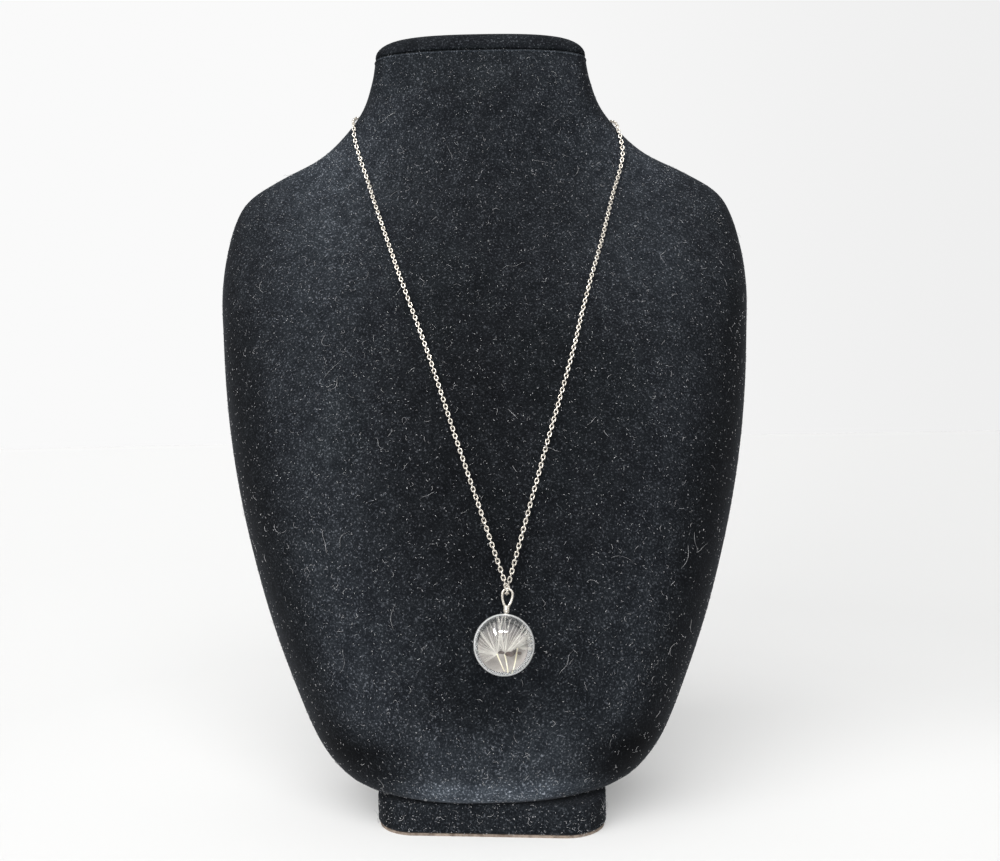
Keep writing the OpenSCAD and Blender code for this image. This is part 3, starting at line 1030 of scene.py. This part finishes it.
studio = {
    "floorReach": 14.0,
    # the paper's tone by its distance from the bust, painted lighter close by to lift the shadow
    # round the foot
    "floorToneLitNear": ((0.08, (0.605, 0.605, 0.601)), (0.24, (0.556, 0.556, 0.553)),
                  (0.7, (0.545, 0.545, 0.543))),
    "floorSides": 96,
    "floorGlowTint": (1, 1, 0.993, 1),
    "floorGlow": 0.22,  # lifts the shadow round the foot, as light from low down does
    "backdrop": 0.955,
    # painted shade: the paper is dimmer to the right, away from the light: from and to which
    # heading, how far on the backdrop, and how far on the floor close by and far off
    "dimFromTo": (-0.2, 0.55),
    "backdropRight": 0.86,
    "floorRight": (1.0, 0.875),
    "dimReach": (0.12, 0.42),
    "roomPower": 0.52,
    "roomFront": 0.9,
    "roomFrontFrom": -0.5,
    "roomFrontTo": 0.3,
    "roomTop": 1.2,
    "roomTopFromTo": (0.1, 0.9),
    "roomLeft": 1.2,
    "roomRight": 0.85,
    "sunPower": 4.3,
    "sunAngle": 90,
    "sunFrom": (-0.4, -1.25, 0.87),
    "panelAim": (0, -0.04, 0.06),
    "windowPower": 8,
    "windowSize": (0.6, 0.09),
    "windowPlace": (-0.03, -0.55, 1.0),
    "windowTurn": 0,
    "sidePower": 5,
    "sideSize": (0.1, 0.42),
    "sidePlace": (-0.49, -0.355, 0.872),
    "sideTurn": 58,
    "lens": 34.56,
    "cameraPlace": (4.8, -329.3, 124.2),
    "cameraRoll": -0.0186,
}


def addRange(tree, value, low, high, start, end):
    node = addNode(tree, "ShaderNodeMapRange",
                   From_Min=low, From_Max=high, To_Min=start, To_Max=end)
    node.interpolation_type = "SMOOTHSTEP"
    tree.links.new(value, node.inputs["Value"])
    return node.outputs["Result"]


def makeFloor():
    far, sides = studio["floorReach"], studio["floorSides"]
    turns = [2 * math.pi * k / sides for k in range(sides)]
    verts = [(0, 0, 0)] + [(far * math.cos(a), far * math.sin(a), 0) for a in turns]
    faces = [(0, 1 + k, 1 + (k + 1) % sides) for k in range(sides)]
    floor = newPiece("studioFloor", verts, faces, smooth=False)
    material, tree, shader = nodeTree("studioPaper")
    coords = tree.nodes.new("ShaderNodeTexCoord")
    reach = tree.nodes.new("ShaderNodeVectorMath")
    reach.operation = "LENGTH"
    tree.links.new(coords.outputs["Object"], reach.inputs[0])
    # painted light: the paper is lighter close to the bust
    tone = addRamp(tree, reach.outputs["Value"], *studio["floorToneLitNear"])
    heading = tree.nodes.new("ShaderNodeVectorMath")
    heading.operation = "NORMALIZE"
    split = tree.nodes.new("ShaderNodeSeparateXYZ")
    tree.links.new(coords.outputs["Object"], heading.inputs[0])
    tree.links.new(heading.outputs[0], split.inputs[0])
    # painted shade: the floor is dimmer to the right
    right = addRange(tree, split.outputs["X"], *studio["dimFromTo"], 1.0, 1.0)
    dim = addRange(tree, reach.outputs["Value"], *studio["dimReach"], *studio["floorRight"])
    tree.links.new(dim, right.node.inputs["To Max"])
    tree.links.new(addBlend(tree, "MULTIPLY", tone, right), shader.inputs["Base Color"])
    shader.inputs["Roughness"].default_value = 1
    shader.inputs["Specular IOR Level"].default_value = 0
    shader.inputs["Emission Color"].default_value = studio["floorGlowTint"]
    shader.inputs["Emission Strength"].default_value = studio["floorGlow"]
    floor.data.materials.append(material)


def addProduct(tree, a, b):
    node = tree.nodes.new("ShaderNodeMath")
    node.operation = "MULTIPLY"
    tree.links.new(a, node.inputs[0])
    tree.links.new(b, node.inputs[1])
    return node.outputs[0]


def makeWorld():  # a bright room, dim behind the camera
    world = bpy.data.worlds.new("studioWorld")
    bpy.context.scene.world = world
    world.use_nodes = True
    tree = world.node_tree
    coords = tree.nodes.new("ShaderNodeTexCoord")
    split = tree.nodes.new("ShaderNodeSeparateXYZ")
    tree.links.new(coords.outputs["Generated"], split.inputs[0])
    front = addRange(tree, split.outputs["Y"], studio["roomFrontFrom"], studio["roomFrontTo"],
                     studio["roomFront"] * studio["roomPower"], studio["roomPower"])
    top = addRange(tree, split.outputs["Z"], *studio["roomTopFromTo"], 1.0, studio["roomTop"])
    side = addRange(tree, split.outputs["X"], -1.0, 1.0, studio["roomLeft"], studio["roomRight"])
    light = addProduct(tree, addProduct(tree, front, top), side)
    path = tree.nodes.new("ShaderNodeLightPath")
    mix = tree.nodes.new("ShaderNodeMix")
    # painted shade on the backdrop, dimmer to the right
    paper = addRange(tree, split.outputs["X"], *studio["dimFromTo"], studio["backdrop"],
                     studio["backdropRight"])
    tree.links.new(path.outputs["Is Camera Ray"], mix.inputs[0])
    tree.links.new(light, mix.inputs[2])
    tree.links.new(paper, mix.inputs[3])
    background = tree.nodes["Background"]
    background.inputs["Color"].default_value = (1, 1, 1, 1)
    tree.links.new(mix.outputs[0], background.inputs["Strength"])


def addLamp(name, kind, place, aim, power):
    light = bpy.data.lights.new(name, kind)
    light.energy = power
    lamp = bpy.data.objects.new(name, light)
    lamp.location = place
    lamp.rotation_mode = "QUATERNION"
    lamp.rotation_quaternion = (Vector(aim) - Vector(place)).to_track_quat("-Z", "Y")
    bpy.context.scene.collection.objects.link(lamp)
    return lamp


def makeStudio():
    makeFloor()
    makeWorld()
    sun = addLamp("ceilingLight", "SUN", studio["sunFrom"], (0, 0, 0), studio["sunPower"])
    sun.data.angle = math.radians(studio["sunAngle"])
    sun.visible_glossy = False
    for name in ("window", "side"):
        panel = addLamp(f"{name}Panel", "AREA", studio[f"{name}Place"], studio["panelAim"],
                        studio[f"{name}Power"])
        turn = Quaternion((0, 0, 1), math.radians(studio[f"{name}Turn"]))
        panel.rotation_quaternion = panel.rotation_quaternion @ turn
        panel.data.shape = "RECTANGLE"
        panel.data.size, panel.data.size_y = studio[f"{name}Size"]
        panel.visible_diffuse = False
    bpy.context.scene.view_settings.view_transform = "Standard"


def makeCamera():
    data = bpy.data.cameras.new("photoCamera")
    data.lens = studio["lens"]
    data.sensor_width = 36
    data.clip_start = 0.01
    camera = bpy.data.objects.new("photoCamera", data)
    camera.matrix_world = (Matrix.Translation(Vector(studio["cameraPlace"]) * mm)
                           @ Matrix.Rotation(math.pi / 2, 4, "X")
                           @ Matrix.Rotation(studio["cameraRoll"], 4, "Z"))
    bpy.context.scene.collection.objects.link(camera)
    bpy.context.scene.camera = camera


makeStudio()
makeCamera()
print("studio made")
